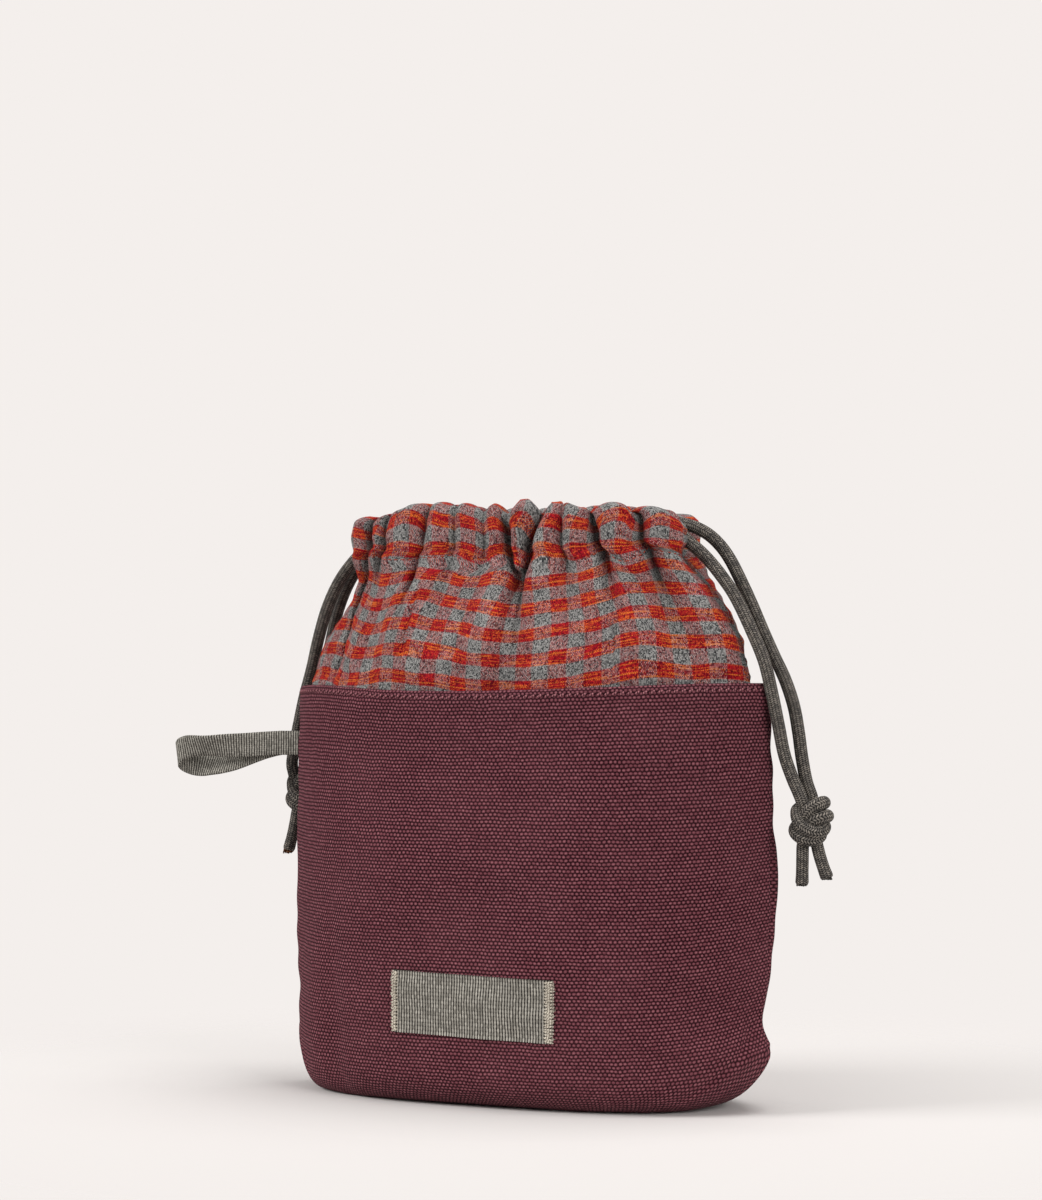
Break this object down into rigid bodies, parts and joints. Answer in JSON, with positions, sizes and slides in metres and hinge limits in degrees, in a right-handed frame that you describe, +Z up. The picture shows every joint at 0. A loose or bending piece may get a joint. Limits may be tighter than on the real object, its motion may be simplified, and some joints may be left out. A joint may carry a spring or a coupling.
{
  "type": "pantry storage bag",
  "caption": "Small drawstring pantry bag: heavy burgundy canvas tub with a flat base, gathered gingham collar, knotted side drawcords, a webbing side loop and a sewn-on blank label.",
  "frame": {"origin": "the middle of the flat base, on the surface the bag stands on", "axes": "+X is the bag's right as seen from its front, -Y is its front, where the label is, and +Z is up"},
  "size_m": [0.2913, 0.0951, 0.2343],
  "materials": {
    "canvas": "matte",
    "gingham": "matte",
    "braid": "matte",
    "webbing": "matte",
    "thread": "matte"
  },
  "bodies": {
    "bag": {"canvas_front_and_base": "canvas", "canvas_back": "canvas", "lining": "gingham", "label": "webbing", "label_stitch_left": "thread", "label_stitch_right": "thread", "loop_tab": "webbing"},
    "collar_front": {"collar_front": "gingham", "casing_front": "gingham", "right_cord_in_front_casing": "braid", "left_cord_in_front_casing": "braid"},
    "collar_back": {"collar_back": "gingham", "casing_back": "gingham", "right_cord_in_back_casing": "braid", "left_cord_in_back_casing": "braid"},
    "right_drawcord": {"right_cord_front_run": "braid", "right_cord_back_run": "braid"},
    "right_knot": {"right_knot": "braid", "right_tail_front": "braid", "right_tail_back": "braid"},
    "left_drawcord": {"left_cord_front_run": "braid", "left_cord_back_run": "braid"},
    "left_knot": {"left_knot": "braid", "left_tail_front": "braid", "left_tail_back": "braid"},
    "side_loop": {"side_loop": "webbing"}
  },
  "joints": [
    {"name": "mouth_front_open", "type": "hinge", "parent": "bag", "child": "collar_front", "pos_m": [0, 0, 0.156], "axis": [1, 0, 0], "range_deg": [0, 15]},
    {"name": "mouth_back_open", "type": "hinge", "parent": "collar_front", "child": "collar_back", "pos_m": [0, 0, 0.156], "axis": [1, 0, 0], "range_deg": [-30, 0]},
    {"name": "right_cord_swing", "type": "hinge", "parent": "bag", "child": "right_drawcord", "pos_m": [0.0638, 0, 0.2268], "axis": [0, -1, 0], "range_deg": [0, 60]},
    {"name": "right_cord_draw", "type": "slide", "parent": "right_drawcord", "child": "right_knot", "axis": [0, 0, 1], "range_m": [0, 0.019], "deforming": ["right_cord_front_run", "right_cord_back_run"]},
    {"name": "left_cord_swing", "type": "hinge", "parent": "bag", "child": "left_drawcord", "pos_m": [-0.0638, 0, 0.2203], "axis": [0, 1, 0], "range_deg": [0, 40]},
    {"name": "left_cord_draw", "type": "slide", "parent": "left_drawcord", "child": "left_knot", "axis": [0, 0, 1], "range_m": [0, 0.019], "deforming": ["left_cord_front_run", "left_cord_back_run"]},
    {"name": "loop_swing", "type": "hinge", "parent": "bag", "child": "side_loop", "pos_m": [-0.11034, 0, 0.139], "axis": [0, 0, 1], "range_deg": [-40, 100], "stiffness_Nm_per_rad": 0.0015}
  ],
  "couplings": [
    {"joint": "mouth_back_open", "follows": "mouth_front_open", "ratio": -2},
    {"joint": "right_cord_draw", "follows": "mouth_front_open", "m_per_rad": 0.0725},
    {"joint": "left_cord_draw", "follows": "mouth_front_open", "m_per_rad": 0.0725}
  ]
}
